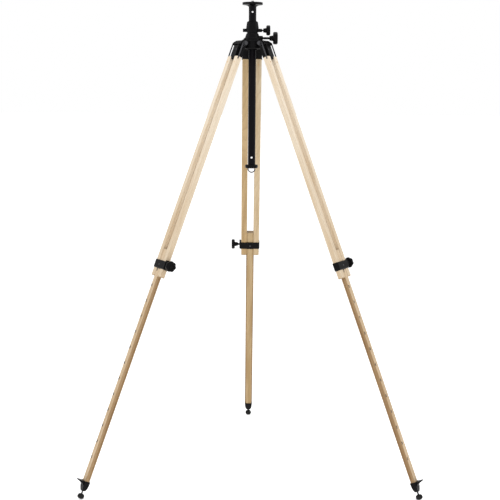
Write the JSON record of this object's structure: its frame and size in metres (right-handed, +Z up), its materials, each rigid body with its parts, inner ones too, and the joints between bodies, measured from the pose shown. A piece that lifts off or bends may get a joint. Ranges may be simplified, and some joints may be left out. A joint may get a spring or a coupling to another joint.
{
  "type": "surveyor tripod",
  "caption": "Wooden two-section tripod with clamped sliding legs, a cast shoulder, a lockable rising centre column and a small round instrument platform.",
  "frame": {"origin": "centre of the platform's seat face on the column axis, where the instrument screw leaves the face", "axes": "+Z up along the centre column; +Y from the column towards leg 1; +X completes a right-handed frame and points along the column lock screws"},
  "size_m": [1.121, 0.9733, 1.608],
  "materials": {
    "ash_upper": "pale ash, clear satin lacquer",
    "ash_lower": "pale ash, oiled, slightly darker",
    "black_casting": "black powder coat on cast alloy",
    "black_plastic": "moulded black plastic",
    "black_tube": "black anodised tube",
    "dark_steel": "blackened steel",
    "steel": "plain zinc-plated steel",
    "rubber": "matt black rubber"
  },
  "bodies": {
    "head": {"shoulder": "black_casting", "hinge_bolts": "dark_steel", "column_guide": "black_casting", "guide_plug": "dark_steel"},
    "guide_sleeve": {"guide_sleeve": "black_plastic"},
    "column": {"column_tube": "black_tube", "platform": "black_casting", "instrument_screw": "steel", "platform_set_screw": "dark_steel", "end_cap": "black_plastic", "weight_hook": "dark_steel"},
    "collar_knob": {"collar_knob": "black_plastic", "collar_screw": "dark_steel"},
    "guide_knob": {"guide_knob": "black_plastic", "guide_screw": "dark_steel"},
    "leg1_upper": {"leg1_head": "black_casting", "leg1_rail_a": "ash_upper", "leg1_rail_b": "ash_upper", "leg1_straps": "dark_steel", "leg1_head_screws": "dark_steel", "leg1_clamp_band": "black_casting", "leg1_clamp_plate": "steel"},
    "leg1_knob": {"leg1_clamp_knob": "black_plastic", "leg1_clamp_screw": "dark_steel"},
    "leg1_lower": {"leg1_lower_rail": "ash_lower", "leg1_slide_stop": "black_plastic", "leg1_foot_shoe": "black_casting", "leg1_shoe_screw": "dark_steel", "leg1_foot_spike": "steel"},
    "leg1_foot": {"leg1_foot_pad": "rubber"},
    "leg2_upper": {"leg2_head": "black_casting", "leg2_rail_a": "ash_upper", "leg2_rail_b": "ash_upper", "leg2_straps": "dark_steel", "leg2_head_screws": "dark_steel", "leg2_clamp_band": "black_casting", "leg2_clamp_plate": "steel"},
    "leg2_knob": {"leg2_clamp_knob": "black_plastic", "leg2_clamp_screw": "dark_steel"},
    "leg2_lower": {"leg2_lower_rail": "ash_lower", "leg2_slide_stop": "black_plastic", "leg2_foot_shoe": "black_casting", "leg2_shoe_screw": "dark_steel", "leg2_foot_spike": "steel"},
    "leg2_foot": {"leg2_foot_pad": "rubber"},
    "leg3_upper": {"leg3_head": "black_casting", "leg3_rail_a": "ash_upper", "leg3_rail_b": "ash_upper", "leg3_straps": "dark_steel", "leg3_head_screws": "dark_steel", "leg3_clamp_band": "black_casting", "leg3_clamp_plate": "steel"},
    "leg3_knob": {"leg3_clamp_knob": "black_plastic", "leg3_clamp_screw": "dark_steel"},
    "leg3_lower": {"leg3_lower_rail": "ash_lower", "leg3_slide_stop": "black_plastic", "leg3_foot_shoe": "black_casting", "leg3_shoe_screw": "dark_steel", "leg3_foot_spike": "steel"},
    "leg3_foot": {"leg3_foot_pad": "rubber"}
  },
  "joints": [
    {"name": "column_turn", "type": "hinge", "parent": "head", "child": "guide_sleeve", "pos_m": [0, 0, -0.1], "axis": [0, 0, 1], "continuous": true},
    {"name": "column_lift", "type": "slide", "parent": "guide_sleeve", "child": "column", "axis": [0, 0, 1], "range_m": [-0.045, 0.38]},
    {"name": "collar_knob_turn", "type": "hinge", "parent": "head", "child": "collar_knob", "pos_m": [0.04, 0, -0.091], "axis": [1, 0, 0], "continuous": true},
    {"name": "guide_knob_turn", "type": "hinge", "parent": "head", "child": "guide_knob", "pos_m": [0.06, 0, -0.1165], "axis": [1, 0, 0], "continuous": true},
    {"name": "leg1_spread", "type": "hinge", "parent": "head", "child": "leg1_upper", "pos_m": [0, 0.046, -0.135], "axis": [1, 0, 0], "range_deg": [-21.8, 0]},
    {"name": "leg1_extend", "type": "slide", "parent": "leg1_upper", "child": "leg1_lower", "axis": [0, 0.3717, -0.9284], "range_m": [-0.66, 0.038]},
    {"name": "leg1_knob_turn", "type": "hinge", "parent": "leg1_upper", "child": "leg1_knob", "pos_m": [-0.05, 0.3375, -0.85525], "axis": [-1, 0, 0], "continuous": true},
    {"name": "leg1_foot_raise", "type": "slide", "parent": "leg1_lower", "child": "leg1_foot", "axis": [0, -0.3717, 0.9284], "range_m": [0, 0.009]},
    {"name": "leg2_spread", "type": "hinge", "parent": "head", "child": "leg2_upper", "pos_m": [-0.03984, -0.023, -0.135], "axis": [-0.5, 0.866, 0], "range_deg": [-21.8, 0]},
    {"name": "leg2_extend", "type": "slide", "parent": "leg2_upper", "child": "leg2_lower", "axis": [-0.3219, -0.1858, -0.9284], "range_m": [-0.66, 0.038]},
    {"name": "leg2_knob_turn", "type": "hinge", "parent": "leg2_upper", "child": "leg2_knob", "pos_m": [-0.26728, -0.21205, -0.85525], "axis": [0.5, -0.866, 0], "continuous": true},
    {"name": "leg2_foot_raise", "type": "slide", "parent": "leg2_lower", "child": "leg2_foot", "axis": [0.3219, 0.1858, 0.9284], "range_m": [0, 0.009]},
    {"name": "leg3_spread", "type": "hinge", "parent": "head", "child": "leg3_upper", "pos_m": [0.03984, -0.023, -0.135], "axis": [-0.5, -0.866, 0], "range_deg": [-21.8, 0]},
    {"name": "leg3_extend", "type": "slide", "parent": "leg3_upper", "child": "leg3_lower", "axis": [0.3219, -0.1858, -0.9284], "range_m": [-0.66, 0.038]},
    {"name": "leg3_knob_turn", "type": "hinge", "parent": "leg3_upper", "child": "leg3_knob", "pos_m": [0.31728, -0.12545, -0.85525], "axis": [0.5, 0.866, 0], "continuous": true},
    {"name": "leg3_foot_raise", "type": "slide", "parent": "leg3_lower", "child": "leg3_foot", "axis": [-0.3219, 0.1858, 0.9284], "range_m": [0, 0.009]}
  ]
}
